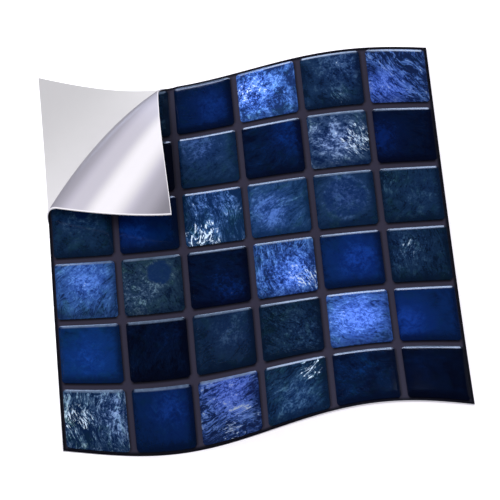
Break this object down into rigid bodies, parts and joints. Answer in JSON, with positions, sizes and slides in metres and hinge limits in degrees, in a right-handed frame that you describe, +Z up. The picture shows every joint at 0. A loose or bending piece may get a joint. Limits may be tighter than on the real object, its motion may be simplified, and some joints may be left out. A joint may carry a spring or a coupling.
{
  "type": "peel and stick mosaic tile",
  "caption": "Square flexible self-adhesive mosaic wall tile, a grid of raised gloss chips on a printed film, lying on its release paper with one corner peeled and rolled over.",
  "frame": {"origin": "centre of the footprint on the floor the sheet lies on", "axes": "+Z up, out of the chip side; +Y towards the edge with the peeled corner; +X right, seen with the chips up"},
  "size_m": [0.148, 0.1507, 0.0244],
  "materials": {
    "printed_vinyl": "satin purple-grey joint colour, pearl white underside",
    "release_paper": "smooth semi-matte",
    "resin_navy": "clear gloss over mottled royal blue",
    "resin_cobalt": "clear gloss over speckled bright blue",
    "resin_denim": "clear gloss over streaked denim blue",
    "resin_teal": "clear gloss over mottled dark teal",
    "resin_ink": "clear gloss over near-black blue",
    "resin_ice": "clear gloss over streaked silver blue"
  },
  "bodies": {
    "root": {"release_paper": "release_paper", "vinyl_film": "printed_vinyl", "navy_chips": "resin_navy", "cobalt_chips": "resin_cobalt", "denim_chips": "resin_denim", "teal_chips": "resin_teal", "ink_chips": "resin_ink", "ice_chips": "resin_ice"}
  },
  "joints": []
}
